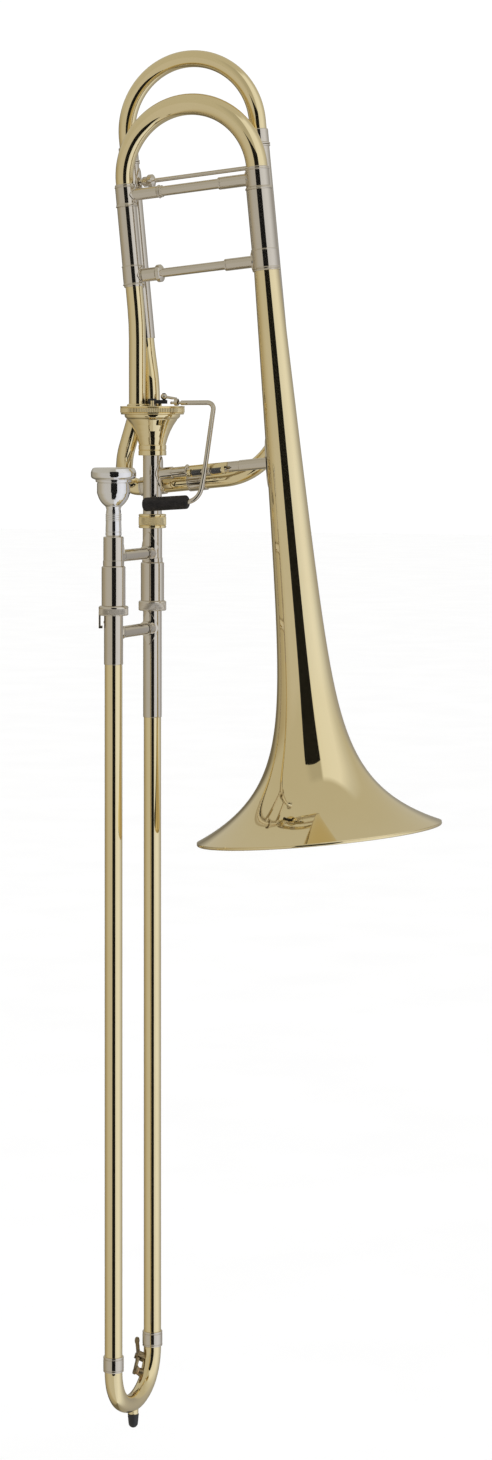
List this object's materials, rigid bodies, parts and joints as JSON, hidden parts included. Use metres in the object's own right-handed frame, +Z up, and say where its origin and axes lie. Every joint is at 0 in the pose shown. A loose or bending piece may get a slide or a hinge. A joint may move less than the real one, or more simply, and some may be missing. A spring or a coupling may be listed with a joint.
{
  "type": "trombone",
  "caption": "Tenor-bass trombone with an F attachment on a conical axial-flow valve, hand slide, two tuning slides, thumb lever, water key and mouthpiece.",
  "frame": {"origin": "middle of the upper slide brace, where the left hand holds the instrument", "axes": "+Z up along the hand slide towards the mouthpiece, +X from the slide towards the bell, +Y from the mouthpiece-side slide tube to the bell-side one"},
  "size_m": [0.3079, 0.216, 1.2195],
  "materials": {
    "lacquered_brass": "mirror-polished brass under clear lacquer",
    "nickel_silver": "mirror-polished nickel silver under lacquer",
    "chrome_plate": "hard chrome on nickel silver, polished",
    "leadpipe_brass": "drawn brass, unpolished",
    "silver_plate": "polished silver plate",
    "aged_bronze": "dark lacquered bronze",
    "cork": "natural cork",
    "bumper_felt": "dense wool felt",
    "black_rubber": "satin black rubber",
    "black_leather": "black leather over a metal core",
    "rotor_metal": "ground light alloy",
    "black_anodised": "black anodised light alloy",
    "spring_steel": "dark blued spring steel"
  },
  "bodies": {
    "inner_slide": {"inner_tube_near": "chrome_plate", "inner_tube_far": "chrome_plate", "cork_barrel_near": "nickel_silver", "cork_barrel_far": "nickel_silver", "slide_bumpers": "bumper_felt", "barrel_end_ring": "nickel_silver", "leadpipe": "leadpipe_brass", "mouthpiece_receiver": "nickel_silver", "bell_receiver": "nickel_silver", "upper_brace": "nickel_silver"},
    "outer_slide": {"outer_tube_near": "lacquered_brass", "outer_tube_far": "lacquered_brass", "oversleeve_near": "nickel_silver", "oversleeve_far": "nickel_silver", "bow_ferrules": "nickel_silver", "slide_bow": "lacquered_brass", "lower_brace": "nickel_silver", "bow_collar": "lacquered_brass", "bow_bumper": "black_rubber", "lock_stud": "nickel_silver", "water_key_seat": "aged_bronze"},
    "lock_ring": {"slide_lock_ring": "nickel_silver"},
    "water_key": {"water_key_lever": "aged_bronze", "water_key_cork": "cork"},
    "mouthpiece": {"mouthpiece": "silver_plate"},
    "lock_nut": {"bell_lock_nut": "lacquered_brass"},
    "bell_section": {"neckpipe": "nickel_silver", "valve_casing": "lacquered_brass", "valve_cap": "lacquered_brass", "valve_plate": "lacquered_brass", "gooseneck": "lacquered_brass", "f_out_tube": "lacquered_brass", "f_return_bow": "lacquered_brass", "f_lower_crook": "lacquered_brass", "f_cuffs": "nickel_silver", "f_sleeve_left": "nickel_silver", "f_sleeve_right": "nickel_silver", "f_brace": "nickel_silver", "tuning_sleeve_left": "nickel_silver", "tuning_sleeve_right": "nickel_silver", "sleeve_ferrules": "nickel_silver", "body_brace": "nickel_silver", "bell": "lacquered_brass", "bell_rim_wire": "lacquered_brass", "bell_brace": "nickel_silver", "hinge_bracket": "lacquered_brass", "hinge_rod": "nickel_silver", "lever_springs": "spring_steel"},
    "tuning_slide": {"tuning_legs": "nickel_silver", "crook_ferrules": "nickel_silver", "tuning_crook": "lacquered_brass", "tuning_brace": "nickel_silver"},
    "f_slide": {"f_crook": "lacquered_brass", "f_ferrules": "nickel_silver", "f_legs": "nickel_silver"},
    "rotor": {"valve_rotor": "rotor_metal", "rotor_crank": "black_anodised"},
    "link": {"valve_link": "nickel_silver"},
    "lever": {"lever_wire": "nickel_silver", "thumb_paddle": "black_leather"}
  },
  "joints": [
    {"name": "hand_slide", "type": "slide", "parent": "inner_slide", "child": "outer_slide", "axis": [0, 0, -1], "range_m": [0, 0.6]},
    {"name": "slide_lock", "type": "hinge", "parent": "inner_slide", "child": "lock_ring", "pos_m": [0, -0.044, -0.047], "axis": [0, 0, -1], "range_deg": [0, 38]},
    {"name": "water_key_hinge", "type": "hinge", "parent": "outer_slide", "child": "water_key", "pos_m": [-0.01045, 0.0365, -0.71673], "axis": [-0.6947, 0.5261, -0.4906], "range_deg": [0, 14], "stiffness_Nm_per_rad": 0.03, "springref_deg": -20.05},
    {"name": "mouthpiece_pull", "type": "slide", "parent": "inner_slide", "child": "mouthpiece", "axis": [0, 0, 1], "range_m": [0, 0.04]},
    {"name": "lock_nut_turn", "type": "hinge", "parent": "inner_slide", "child": "lock_nut", "pos_m": [0, 0.044, 0.028], "axis": [0, 0, 1], "continuous": true},
    {"name": "bell_swivel", "type": "hinge", "parent": "inner_slide", "child": "bell_section", "pos_m": [0, 0.044, 0], "axis": [0, 0, 1], "range_deg": [-25, 25]},
    {"name": "main_tuning", "type": "slide", "parent": "bell_section", "child": "tuning_slide", "axis": [-0.0993, 0, 0.9951], "range_m": [0, 0.045]},
    {"name": "f_tuning", "type": "slide", "parent": "bell_section", "child": "f_slide", "axis": [-0.0993, 0, 0.9951], "range_m": [0, 0.08]},
    {"name": "thumb_lever", "type": "hinge", "parent": "bell_section", "child": "lever", "pos_m": [0.056, 0.0346, 0.073], "axis": [0.9951, 0, 0.0993], "range_deg": [0, 10.5], "stiffness_Nm_per_rad": 0.12, "springref_deg": -17.19},
    {"name": "rotor_turn", "type": "hinge", "parent": "bell_section", "child": "rotor", "pos_m": [0, 0.044, 0.12], "axis": [0, 0, -1], "range_deg": [0, 64]},
    {"name": "link_swing", "type": "hinge", "parent": "rotor", "child": "link", "pos_m": [0.0089, 0.04956, 0.1396], "axis": [0, 0, 1], "range_deg": [0, 64]}
  ],
  "couplings": [
    {"joint": "rotor_turn", "follows": "thumb_lever", "ratio": 6.09},
    {"joint": "link_swing", "follows": "thumb_lever", "ratio": 6.09}
  ]
}
